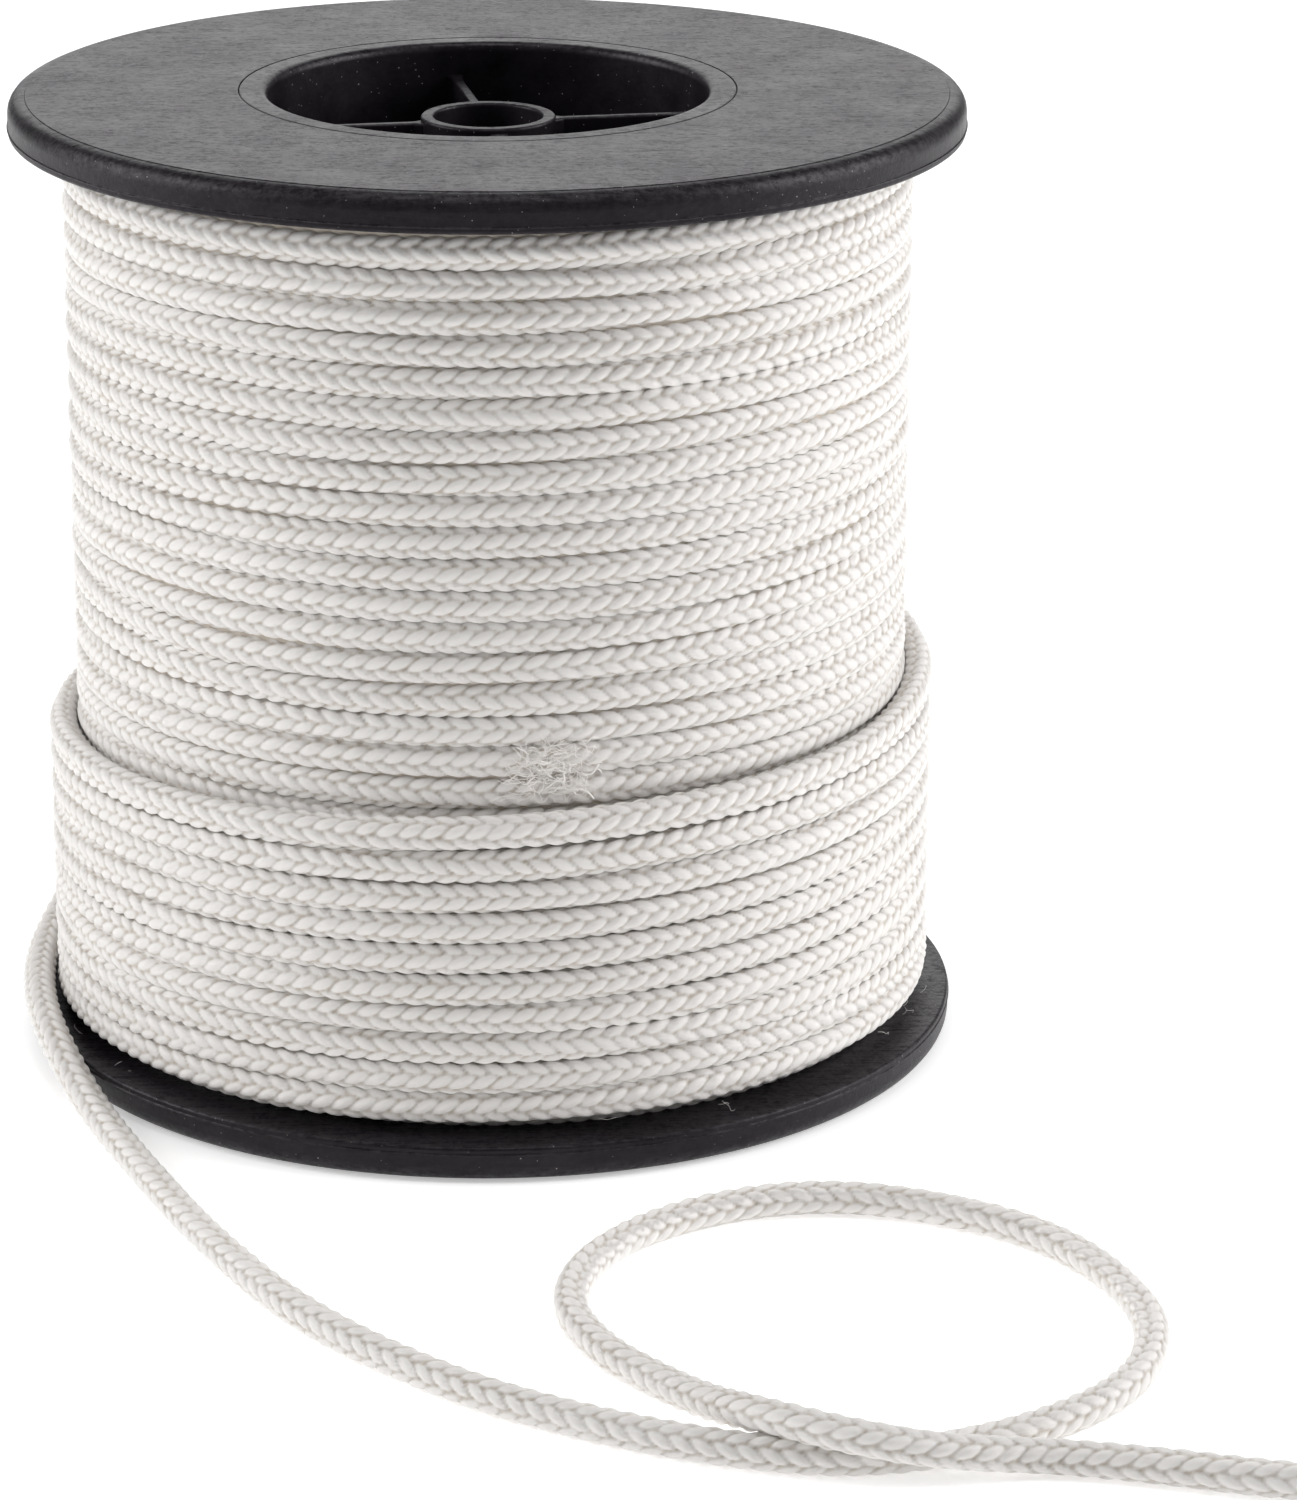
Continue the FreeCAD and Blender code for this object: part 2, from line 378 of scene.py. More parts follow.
def braided_tube(name, cord, centre, outward, distance, angles, shape, ends):
    """Wrap a grid round a centreline and raise the braid's stitches on it.

    angles run round the section from -pi to pi, 0 facing outward.  shape is how
    square, how tall and how full the section is, and ends gives its size at the
    first and last few rings, which close the tube.
    """
    squareness, spread, fullness = shape
    tangent = np.gradient(centre, axis=0)
    tangent /= np.linalg.norm(tangent, axis=1)[:, None]
    outward = outward - (outward * tangent).sum(1)[:, None] * tangent
    outward /= np.linalg.norm(outward, axis=1)[:, None]
    upward = np.cross(outward, tangent)

    # The braid turns once in a while and its stitches drift, as on any real cord.
    rows, columns = len(centre), len(angles)
    twist = 0.5 * np.sin(distance / 0.041) + 0.3 * np.sin(distance / 0.0153 + 2.0)
    twist += distance / 0.9
    stitches = distance / cord.stitch + 0.35 * np.sin(distance / 0.027)
    around = angles[None, :] / TURN * cord.wales + twist[:, None]
    height, across, along, shade = braid_surface(
        np.repeat(stitches[:, None], columns, 1), around
    )
    size = np.ones(rows)
    size[: len(ends[0])] = ends[0]
    size[rows - len(ends[1]) :] = ends[1]
    c, s = np.cos(angles), np.sin(angles)
    section = (np.abs(c) ** squareness + np.abs(s) ** squareness) ** (-1 / squareness)
    reach = cord.diameter / 2 * fullness * section[None, :]
    reach = reach - cord.relief * (1 - height)
    reach *= size[:, None]
    place = centre[:, None, :] + reach[:, :, None] * (
        c[None, :, None] * outward[:, None, :]
        + spread * s[None, :, None] * upward[:, None, :]
    )
    # Where it rests on the table the cord is pressed flat.
    place[:, :, 2] = np.maximum(place[:, :, 2], 0.02 * MM)

    bm = bmesh.new()
    bm.loops.layers.uv.new("cord")
    bmesh.ops.create_grid(
        bm, x_segments=columns - 1, y_segments=rows - 1, size=1, calc_uvs=True
    )
    mesh = to_mesh(bm, name)
    flat = np.empty(len(mesh.vertices) * 3)
    mesh.vertices.foreach_get("co", flat)
    flat = flat.reshape(-1, 3)
    column = np.rint((flat[:, 0] + 1) / 2 * (columns - 1)).astype(int)
    row = np.rint((flat[:, 1] + 1) / 2 * (rows - 1)).astype(int)
    mesh.vertices.foreach_set("co", place[row, column].ravel())

    corner = np.empty(len(mesh.loops), dtype=np.int32)
    mesh.loops.foreach_get("vertex_index", corner)
    run = np.stack(
        [distance[row[corner]], angles[column[corner]] * cord.diameter / 2], axis=1
    )
    mesh.uv_layers["cord"].data.foreach_set("uv", run.ravel())
    relief = mesh.attributes.new("relief", "FLOAT", "POINT")
    relief.data.foreach_set("value", height[row, column])
    crown_shade = mesh.attributes.new("shade", "FLOAT", "POINT")
    crown_shade.data.foreach_set("value", shade[row, column])
    strand = mesh.attributes.new("strand", "FLOAT_VECTOR", "POINT")
    on_strand = np.stack([across, along, height], axis=2)[row, column]
    strand.data.foreach_set("vector", on_strand.ravel())

    bm = bmesh.new()
    bm.from_mesh(mesh)
    bpy.data.meshes.remove(mesh)
    rim = [v for v in bm.verts if v.is_boundary]
    bmesh.ops.remove_doubles(bm, verts=rim, dist=1e-6)
    open_edges = [e for e in bm.edges if e.is_boundary]
    bmesh.ops.holes_fill(bm, edges=open_edges, sides=0)
    bmesh.ops.recalc_face_normals(bm, faces=bm.faces)
    return to_mesh(bm, name)


# How square each section is, how much taller than deep, and how full: wound turns
# press together, and the free end springs back a little thicker.
PRESSED_SECTION = (2.3, 1.15, 1.02)
ROUND_SECTION = (2.0, 1.0, 1.14)
# The grid on a cord: one ring each step along it, and so many columns round it.
SECTION_STEP = 0.33 * MM
OUTER_COLUMNS = 20
INNER_COLUMNS = 4
FREE_COLUMNS = 32
OUTER_HALF_ANGLE = math.radians(112)
# Sizes of the rings that close a cord's ends: tucked into the next piece, or sealed.
TUCKED_START = (0.3, 0.8, 0.93, 0.975)
TUCKED_END = (0.975, 0.93, 0.8, 0.3)
SEALED_END = (0.97, 0.93, 0.86, 0.74, 0.55, 0.25)
# The winding: turns in the full-height layer, whole turns in the last layer below
# its height on the left, and how much its top turn slants across the reel.
FULL_LAYER_TURNS = 21.2
LAST_LAYER_TURNS = 9
LAST_LAYER_SIDE_HEIGHT = 35.0 * MM
LAST_TURN_SLANT = 3.7 * MM
SLANT_GROWTH = 1.6
# How far a layer's end dives under the turns that follow it.
END_DIVE = 2.6 * MM
START_DIVE = 2.0 * MM
# Unevenness of the turns, up and down and in and out, and the gap below the lowest.
WANDER_HEIGHT = 0.12 * MM
WANDER_DEPTH = 0.06 * MM
TURN_GAP = 0.05 * MM
# Where along the cord the last layer starts, so that its braid is out of step.
LAST_LAYER_DISTANCE = 7.0


def wound_angles():
    """Angles round a wound turn: close together outside, far apart against the reel."""
    half = OUTER_HALF_ANGLE
    outer = np.linspace(-half, half, OUTER_COLUMNS + 1)
    inner = np.linspace(half, TURN - half, INNER_COLUMNS + 1)[1:-1]
    split = len(inner) // 2 + 1
    return np.concatenate([inner[split - 1 :] - TURN, outer, inner[:split]])


def wound_pieces(name, cord, count, turn_angle, radius, height, start, replaced):
    """Build one layer of winding as several pieces that tuck into each other."""
    centre = np.stack(
        [radius * np.cos(turn_angle), radius * np.sin(turn_angle), height], axis=1
    )
    step = np.linalg.norm(np.diff(centre, axis=0), axis=1)
    distance = start + np.concatenate([[0], np.cumsum(step)])
    outward = np.stack(
        [np.cos(turn_angle), np.sin(turn_angle), np.zeros(len(radius))], axis=1
    )
    angles = wound_angles()
    cuts = np.linspace(0, len(centre), count + 1).astype(int)
    pieces = []
    for i in range(count):
        low = max(cuts[i] - len(TUCKED_START), 0)
        high = min(cuts[i + 1] + len(TUCKED_END), len(centre))
        part = slice(low, high)
        mesh = braided_tube(
            f"{name}_{i + 1}",
            cord,
            centre[part],
            outward[part],
            distance[part],
            angles,
            PRESSED_SECTION,
            (TUCKED_START, TUCKED_END),
        )
        pieces.append(make_object(mesh.name, mesh, "cord_braid", replaced))
    return pieces, distance[-1]


def wander(turn_angle, seed):
    """Slow unevenness of a hand-guided winding, from -1 to 1."""
    return (
        0.55 * np.sin(turn_angle * 2.27 + seed)
        + 0.3 * np.sin(turn_angle * 5.43 + 2.1 * seed)
        + 0.15 * np.sin(turn_angle * 11.61 + 3.7 * seed)
    )


# -------------------------------------------------------------------- materials


def moulded_polystyrene(colour, dust, texture, name):
    """High-impact polystyrene from a fine-grained mould: near black, satin gloss.

    The grain and handling marks break the gloss, flow lines run faintly round the
    axis, and dust clings to the faces as pale specks.
    """
    material, tree = new_material(name)
    place = add_node(tree, "ShaderNodeTexCoord").outputs["Object"]
    # Flow lines: rings about 0.8 mm apart, pulled out of round by the flow.
    rings = add_node(
        tree,
        "ShaderNodeTexWave",
        {"wave_type": "RINGS", "rings_direction": "Z"},
        {
            "Vector": place,
            "Scale": 390.0,
            "Distortion": 7.0,
            "Detail": 3.0,
            "Detail Scale": 0.25,
        },
    ).outputs["Fac"]
    # Grain: the mould's own fine texture, drawn as coarse as 0.7 mm so that it shows.
    grain = add_node(
        tree,
        "ShaderNodeTexNoise",
        None,
        {"Vector": place, "Scale": 1400.0, "Detail": 5.0, "Roughness": 0.75},
    ).outputs["Fac"]
    relief = add_node(
        tree,
        "ShaderNodeMath",
        {"operation": "MULTIPLY_ADD"},
        {0: rings, 1: 0.05, 2: grain},
    ).outputs[0]
    # Handling marks: faint streaks about 0.5 mm by 6 mm, mostly along X.
    stretched = add_node(
        tree,
        "ShaderNodeMapping",
        None,
        {"Vector": place, "Scale": (160, 1900, 1900), "Rotation": (0, 0, 0.05)},
    ).outputs[0]
    marks = add_node(
        tree,
        "ShaderNodeTexNoise",
        None,
        {"Vector": stretched, "Scale": 1.0, "Detail": 5.0, "Roughness": 0.7},
    ).outputs["Fac"]
    cloudy = add_node(
        tree,
        "ShaderNodeTexNoise",
        None,
        {"Vector": place, "Scale": 150.0, "Detail": 6.0, "Roughness": 0.7},
    ).outputs["Fac"]
    worn = add_node(
        tree,
        "ShaderNodeMath",
        {"operation": "MULTIPLY_ADD"},
        {0: marks, 1: 0.6, 2: cloudy},
    ).outputs[0]
    # Dust grains up to 0.25 mm across, one to a cell of 0.8 mm.
    grains = add_node(
        tree, "ShaderNodeTexVoronoi", None, {"Vector": place, "Scale": 1300.0}
    )
    grain_size = add_node(
        tree,
        "ShaderNodeMapRange",
        None,
        {
            "Value": cloudy,
            "From Min": 0.35,
            "From Max": 0.75,
            "To Min": 0.02,
            "To Max": dust,
        },
    ).outputs[0]
    speck = add_node(
        tree,
        "ShaderNodeMath",
        {"operation": "LESS_THAN"},
        {0: grains.outputs["Distance"], 1: grain_size},
    ).outputs[0]
    tint = ramp(
        tree,
        cloudy,
        [
            (0.3, [c * 0.7 for c in colour[:3]] + [1]),
            (0.7, [c * 2.4 for c in colour[:3]] + [1]),
        ],
    )
    base = add_node(
        tree,
        "ShaderNodeMix",
        {"data_type": "RGBA"},
        {"Factor": speck, 6: tint, 7: linear("8d8a86")},
    ).outputs[2]
    rough = add_node(
        tree,
        "ShaderNodeMapRange",
        None,
        {
            "Value": worn,
            "From Min": 0.5,
            "From Max": 1.05,
            "To Min": 0.30,
            "To Max": 0.46,
        },
    ).outputs[0]
    bump = add_node(
        tree,
        "ShaderNodeBump",
        None,
        {"Height": relief, "Strength": texture, "Distance": 0.12 * MM},
    ).outputs[0]
    # The grain and the marks make the gloss uneven, least of all on upright faces.
    normal = add_node(tree, "ShaderNodeTexCoord").outputs["Normal"]
    upward = add_node(tree, "ShaderNodeSeparateXYZ", None, {0: normal}).outputs["Z"]
    level = add_node(tree, "ShaderNodeMath", {"operation": "ABSOLUTE"}, {0: upward})
    dullest, brightest = [
        add_node(
            tree,
            "ShaderNodeMath",
            {"operation": "MULTIPLY_ADD"},
            {0: level.outputs[0], 1: slope, 2: start},
        ).outputs[0]
        for slope, start in ((-0.10, 0.16), (0.26, 0.22))
    ]
    gloss = add_node(
        tree,
        "ShaderNodeMapRange",
        None,
        {
            "Value": add_node(
                tree, "ShaderNodeMath", {"operation": "ADD"}, {0: grain, 1: marks}
            ).outputs[0],
            "From Min": 0.85,
            "From Max": 1.15,
            "To Min": dullest,
            "To Max": brightest,
        },
    ).outputs[0]
    shader = add_node(
        tree,
        "ShaderNodeBsdfPrincipled",
        None,
        {
            "Base Color": base,
            "Roughness": rough,
            "Normal": bump,
            "IOR": 1.5,
            "Specular IOR Level": gloss,
            "Specular Tint": (1.0, 0.94, 1.0, 1.0),
        },
    )
    finish_material(tree, shader)
    return material


def braided_polyester(yarn, painted_groove_shade, name):
    """Filament polyester, plaited tight: white crowns with a soft silky gloss.

    Filaments run along each strand as fine streaks, and a warm grey painted shade
    fills the dips between strands where their shadow would be.
    """
    material, tree = new_material(name)
    relief = add_node(tree, "ShaderNodeAttribute", {"attribute_name": "relief"})
    strand = add_node(tree, "ShaderNodeAttribute", {"attribute_name": "strand"})
    shade = add_node(tree, "ShaderNodeAttribute", {"attribute_name": "shade"})
    place = add_node(tree, "ShaderNodeTexCoord").outputs["Object"]
    # Filaments: about nine across a strand, many times longer than they are wide.
    filaments = add_node(
        tree,
        "ShaderNodeTexNoise",
        None,
        {
            "Vector": add_node(
                tree,
                "ShaderNodeMapping",
                None,
                {"Vector": strand.outputs["Vector"], "Scale": (18.0, 1.6, 0.0)},
            ).outputs[0],
            "Scale": 1.0,
            "Detail": 3.0,
            "Roughness": 0.6,
        },
    ).outputs["Fac"]
    cloudy = add_node(
        tree,
        "ShaderNodeTexNoise",
        None,
        {"Vector": place, "Scale": 120.0, "Detail": 3.0, "Roughness": 0.55},
    ).outputs["Fac"]
    depth = add_node(
        tree,
        "ShaderNodeMath",
        {"operation": "MULTIPLY_ADD"},
        {0: cloudy, 1: 0.2, 2: relief.outputs["Fac"]},
    ).outputs[0]
    lit = add_node(
        tree,
        "ShaderNodeMath",
        {"operation": "MULTIPLY_ADD"},
        {0: shade.outputs["Fac"], 1: 0.2, 2: depth},
    ).outputs[0]
    # Painted shade: the dips take a warm grey in place of their shadow, full only at
    # the very bottom.
    base = ramp(tree, lit, [(0.3, painted_groove_shade), (0.75, yarn)])
    bump = add_node(
        tree,
        "ShaderNodeBump",
        None,
        {"Height": filaments, "Strength": 0.8, "Distance": 0.12 * MM},
    ).outputs[0]
    rough = add_node(
        tree,
        "ShaderNodeMapRange",
        None,
        {
            "Value": filaments,
            "From Min": 0.3,
            "From Max": 0.7,
            "To Min": 0.34,
            "To Max": 0.55,
        },
    ).outputs[0]
    shader = add_node(
        tree,
        "ShaderNodeBsdfPrincipled",
        None,
        {
            "Base Color": base,
            "Roughness": rough,
            "Normal": bump,
            "Sheen Weight": 0.15,
            "Sheen Roughness": 0.4,
        },
    )
    finish_material(tree, shader)
    return material


def filament_fuzz(colour, name):
    """Broken polyester filaments: fine, white and faintly glossy.

    Light passes through a tuft, so it never looks dark: a little glow stands for that.
    """
    material, tree = new_material(name)
    place = add_node(tree, "ShaderNodeTexCoord").outputs["Object"]
    cloudy = add_node(
        tree, "ShaderNodeTexNoise", None, {"Vector": place, "Scale": 400.0}
    ).outputs["Fac"]
    dim = [c * 0.85 for c in colour[:3]] + [1.0]
    base = ramp(tree, cloudy, [(0.35, dim), (0.65, colour)])
    shader = add_node(
        tree,
        "ShaderNodeBsdfPrincipled",
        None,
        {
            "Base Color": base,
            "Roughness": 0.5,
            "Emission Color": (1.0, 0.97, 0.94, 1.0),
            "Emission Strength": 0.12,
        },
    )
    finish_material(tree, shader)
    return material


def seamless_paper(colour, name):
    """Matt white backdrop paper.  A glow stands for light from all round."""
    material, tree = new_material(name)
    place = add_node(tree, "ShaderNodeTexCoord").outputs["Object"]
    tooth = add_node(
        tree,
        "ShaderNodeTexNoise",
        None,
        {"Vector": place, "Scale": 900.0, "Detail": 2.0},
    ).outputs["Fac"]
    bump = add_node(
        tree,
        "ShaderNodeBump",
        None,
        {"Height": tooth, "Strength": 0.03, "Distance": 0.1 * MM},
    ).outputs[0]
    shader = add_node(
        tree,
        "ShaderNodeBsdfPrincipled",
        None,
        {
            "Base Color": tuple(colour),
            "Roughness": 0.9,
            "Normal": bump,
            "Specular IOR Level": 0.0,
            "Emission Color": (1, 1, 1, 1),
            "Emission Strength": 0.40,
        },
    )
    finish_material(tree, shader)
    return material


def give(piece, material):
    """Put one material on a piece."""
    piece.data.materials.clear()
    piece.data.materials.append(material)


# -------------------------------------------------------------------- operators

# Name, place in metres, side of the square in metres, and power in watts.
LIGHTS = (
    ("window_right", (1.0, 0.02, 0.50), 0.8, 10.3),
    ("window_left", (-1.0, 0.02, 0.50), 0.8, 8.4),
    ("ceiling", (0.0, -0.15, 1.3), 0.7, 3.8),
    ("window_back", (0.0, 1.60, 0.65), 1.2, 6.0),
)
# Largest dust grain, in cells of the dust pattern, and strength of the grain.
FLANGE_DUST, FLANGE_TEXTURE = 0.13, 0.55
BARREL_DUST, BARREL_TEXTURE = 0.16, 0.2
CAMERA_PLACE = (0, -0.5873, 0.2291)
CAMERA_TURNS = ((-1.69, "Z"), (71.30, "X"), (0.22, "Z"))


class REEL_OT_stage(bpy.types.Operator):
    """Set the camera, the paper table and the soft lights."""

    bl_idname = "reel.stage"
    bl_label = "Stage"

    def execute(self, context):
        scene = context.scene
        camera_data = bpy.data.cameras.new("camera")
        camera_data.lens = 134.6
        camera_data.sensor_width = 36
        camera_data.clip_start = 0.01
        camera = bpy.data.objects.new("camera", camera_data)
        context.collection.objects.link(camera)
        place = Matrix.Translation(CAMERA_PLACE)
        for degrees, axis in CAMERA_TURNS:
            place = place @ Matrix.Rotation(math.radians(degrees), 4, axis)
        camera.matrix_world = place
        scene.camera = camera

        bm = bmesh.new()
        bmesh.ops.create_grid(bm, x_segments=8, y_segments=8, size=3)
        table = bpy.data.objects.new("table", to_mesh(bm, "table"))
        context.collection.objects.link(table)
        give(table, seamless_paper(scene.reel_finish.table, "seamless_paper"))

        for name, place, size, power in LIGHTS:
            data = bpy.data.lights.new(name, "AREA")
            data.shape = "SQUARE"
            data.size = size
            data.energy = power
            light = bpy.data.objects.new(name, data)
            context.collection.objects.link(light)
            toward = Vector((0, 0, 0.05)) - Vector(place)
            facing = toward.to_track_quat("-Z", "Y").to_matrix().to_4x4()
            light.matrix_world = Matrix.Translation(place) @ facing

        world = bpy.data.worlds.new("studio")
        scene.world = world
        world.use_nodes = True
        tree = world.node_tree
        tree.nodes.clear()
        background = add_node(
            tree,
            "ShaderNodeBackground",
            None,
            {"Color": (1, 1, 1, 1), "Strength": 0.15},
        )
        add_node(tree, "ShaderNodeOutputWorld", None, {0: background.outputs[0]})
        scene.view_settings.view_transform = "Standard"
        return {"FINISHED"}


class REEL_OT_spool(bpy.types.Operator):
    """Turn both flanges, the barrel and the spindle tube, and set the ribs."""

    bl_idname = "reel.spool"
    bl_label = "Spool"

    def execute(self, context):
        spool = context.scene.reel_spool
        finish = context.scene.reel_finish
        flange_finish = moulded_polystyrene(
            finish.plastic, FLANGE_DUST, FLANGE_TEXTURE, "moulded_polystyrene_flange"
        )
        barrel_finish = moulded_polystyrene(
            finish.plastic, BARREL_DUST, BARREL_TEXTURE, "moulded_polystyrene_barrel"
        )
        # A fine parting bead runs round the rim near its inner face.
        bead = 0.12 * MM
        bead_depth = 0.75 * MM
        side = spool.flange_radius - bead
        edge = spool.barrel_radius
        thick = spool.flange_thickness
        crease = 0.03 * MM
        # The flat face stands a hair above the rounded rim, seen as a fine line.
        face_edge = side - spool.rim_rounding - 0.2 * MM
        step_down = 0.08 * MM
        outline = [
            (edge, 0.0, 0.1 * MM),
            (face_edge, 0.0, crease),
            (face_edge + step_down, step_down, crease),
            (side, step_down, spool.rim_rounding),
            (side, thick - bead_depth - bead, crease),
            (spool.flange_radius, thick - bead_depth, crease),
            (side, thick - bead_depth + bead, crease),
            (side, thick, 0.35 * MM),
            (edge, thick, 0.1 * MM),
        ]
        mirrored = [(r, spool.height - z, rounding) for r, z, rounding in outline]
        for name, corners in (("bottom_flange", outline), ("top_flange", mirrored)):
            mesh = turned(name + "_moulding", corners, margin=0.02 * MM)
            give(make_object(mesh.name, mesh, "flange_plastic", name), flange_finish)

        inside = spool.barrel_radius - spool.barrel_wall
        tubes = [
            ("barrel_tube", inside, spool.barrel_radius, 0.0, 0.85 * MM, 0.3 * MM),
            (
                "spindle_tube",
                radius_of("spindle_tube") - spool.spindle_wall,
                radius_of("spindle_tube"),
                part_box("spindle_tube")[0].z,
                0.3 * MM,
                0.3 * MM,
            ),
        ]
        for node, small, large, recess, mouth, outer in tubes:
            low, high = recess, spool.height - recess
            corners = [
                (small, low, mouth),
                (large, low, outer),
                (large, high, outer),
                (small, high, mouth),
            ]
            mesh = turned(node + "_moulding", corners)
            give(make_object(mesh.name, mesh, "barrel_plastic", node), barrel_finish)

        reach_in = radius_of("spindle_tube") - 0.3 * MM
        reach_out = inside + 0.3 * MM
        half = spool.rib_thickness / 2
        flare = 0.6 * MM
        for i in range(4):
            node = f"hub_rib_{i + 1}"
            low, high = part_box(node)
            bm = bmesh.new()
            plan = [
                (reach_in, -half - flare),
                (reach_in + 2 * flare, -half),
                (reach_out - 2 * flare, -half),
                (reach_out, -half - flare),
                (reach_out, half + flare),
                (reach_out - 2 * flare, half),
                (reach_in + 2 * flare, half),
                (reach_in, half + flare),
            ]
            face = bm.faces.new([bm.verts.new((x, y, low.z)) for x, y in plan])
            lifted = bmesh.ops.extrude_face_region(bm, geom=[face])["geom"]
            top = [v for v in lifted if isinstance(v, bmesh.types.BMVert)]
            bmesh.ops.translate(bm, verts=top, vec=(0, 0, high.z - low.z))
            level = [
                e for e in bm.edges if abs(e.verts[0].co.z - e.verts[1].co.z) < 1e-6
            ]
            bmesh.ops.bevel(
                bm,
                geom=level,
                offset=0.25 * MM,
                segments=3,
                profile=0.5,
                affect="EDGES",
                material=-1,
            )
            bmesh.ops.rotate(
                bm,
                verts=bm.verts,
                cent=(0, 0, 0),
                matrix=Matrix.Rotation(spool.rib_turn + i * TURN / 4, 3, "Z"),
            )
            bmesh.ops.recalc_face_normals(bm, faces=bm.faces)
            mesh = to_mesh(bm, node + "_moulding")
            piece = make_object(mesh.name, mesh, "barrel_plastic", node)
            for polygon in mesh.polygons:
                polygon.use_smooth = False
            give(piece, barrel_finish)
        return {"FINISHED"}


def layer_angles(turns, radius, last_angle):
    """Angles along a layer that ends at last_angle, one for each section."""
    count = int(turns * TURN * radius / SECTION_STEP)
    return np.linspace(last_angle - turns * TURN, last_angle, count)


def ease(x):
    """Rise smoothly from 0 to 1 as x goes from 0 to 1."""
    x = np.clip(x, 0, 1)
    return x * x * (3 - 2 * x)


class REEL_OT_winding(bpy.types.Operator):
    """Wind the full-height layer over a core of buried turns."""

    bl_idname = "reel.winding"
    bl_label = "Winding"

    def execute(self, context):
        cord = context.scene.reel_cord
        finish = context.scene.reel_finish
        yarn = braided_polyester(finish.yarn, finish.painted_groove_shade, "braided_polyester")
        half = cord.diameter / 2
        low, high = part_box("wound_cord")
        layer_radius = radius_of("wound_cord") - half
        # Buried turns, seen only as a soft shade down between the turns on top: they
        # carry no relief attribute, so the yarn material paints them wholly in the
        # painted groove shade.
        core_radius = layer_radius + 0.35 * MM
        barrel = context.scene.reel_spool.barrel_radius
        inset = 0.01 * MM
        soft = 0.8 * MM
        corners = [
            (barrel, low.z + inset, 0),
            (core_radius, low.z + inset, soft),
            (core_radius, high.z - inset, soft),
            (barrel, high.z - inset, 0),
        ]
        mesh = turned("buried_turns", corners, steps=192)
        give(make_object(mesh.name, mesh, "cord_braid", "wound_cord"), yarn)

        top = high.z - half - 0.1 * MM
        angle = layer_angles(FULL_LAYER_TURNS, layer_radius, BACK)
        from_top = (angle[-1] - angle) / TURN
        height = top - cord.turn_pitch * from_top
        height += WANDER_HEIGHT * wander(angle, 0.7) * ease(from_top * 2)
        radius = layer_radius - WANDER_DEPTH + WANDER_DEPTH * wander(angle, 4.1)
        radius -= END_DIVE * (1 - ease(from_top * 8))
        pieces, _ = wound_pieces(
            "winding", cord, 5, angle, radius, height, 0.0, "wound_cord"
        )
        # The lowest turn lies flat on the bottom flange and shows where the last
        # layer's first turn has climbed clear of it.
        angle = layer_angles(1.0, layer_radius, BACK)
        from_end = (angle[-1] - angle) / TURN
        height = np.full(len(angle), low.z + half + TURN_GAP)
        radius = layer_radius - END_DIVE * (1 - ease(from_end * 8))
        foot, _ = wound_pieces(
            "winding_foot", cord, 1, angle, radius, height, 0.0, "wound_cord"
        )
        for piece in pieces + foot:
            give(piece, yarn)
        return {"FINISHED"}


class REEL_OT_last_layer(bpy.types.Operator):
    """Wind the last layer, which covers only the lower part of the reel."""

    bl_idname = "reel.last_layer"
    bl_label = "Last layer"

    def execute(self, context):
        scene = context.scene
        cord = scene.reel_cord
        low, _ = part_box("last_cord_layer")
        exit_point = Vector(CORD_ROUTE[0])
        layer_radius = radius_of("last_cord_layer") - cord.diameter / 2
        last = math.atan2(exit_point.y, exit_point.x) + TURN
        first_height = low.z + cord.diameter / 2 + TURN_GAP
        side_height = LAST_LAYER_SIDE_HEIGHT
        # A whole number of turns and a quarter, so that the layer starts at the back.
        side_turns = LAST_LAYER_TURNS + 0.25
        pitch = (side_height - first_height) / side_turns
        first = math.pi - side_turns * TURN
        angle = layer_angles((last - first) / TURN, layer_radius, last)
        # The upper turns lie aslant, high on the right, and most of all the last one,
        # which then climbs a little further to its exit.
        even = side_height + pitch * (angle - math.pi) / TURN
        slant = LAST_TURN_SLANT * ((even - first_height) / side_height) ** SLANT_GROWTH
        height = even + slant * (1 + np.cos(angle)) / 2
        height += (exit_point.z - height[-1]) * ease(1 - (last - angle) / (TURN / 5))
        to_exit = ease((last - angle) / (TURN / 8))
        height += WANDER_HEIGHT * wander(angle, 2.9) * to_exit
        start = ease((angle - first) / (TURN / 4))
        radius = layer_radius + WANDER_DEPTH * (wander(angle, 1.3) - 1) * to_exit
        exit_radius = math.hypot(exit_point.x, exit_point.y)
        radius += (exit_radius - layer_radius) * (1 - to_exit)
        radius -= START_DIVE * (1 - start)
        pieces, distance = wound_pieces(
            "last_layer",
            cord,
            3,
            angle,
            radius,
            height,
            LAST_LAYER_DISTANCE,
            "last_cord_layer",
        )
        yarn = bpy.data.materials["braided_polyester"]
        for piece in pieces:
            give(piece, yarn)
        scene["reel_exit_distance"] = float(distance)
        return {"FINISHED"}


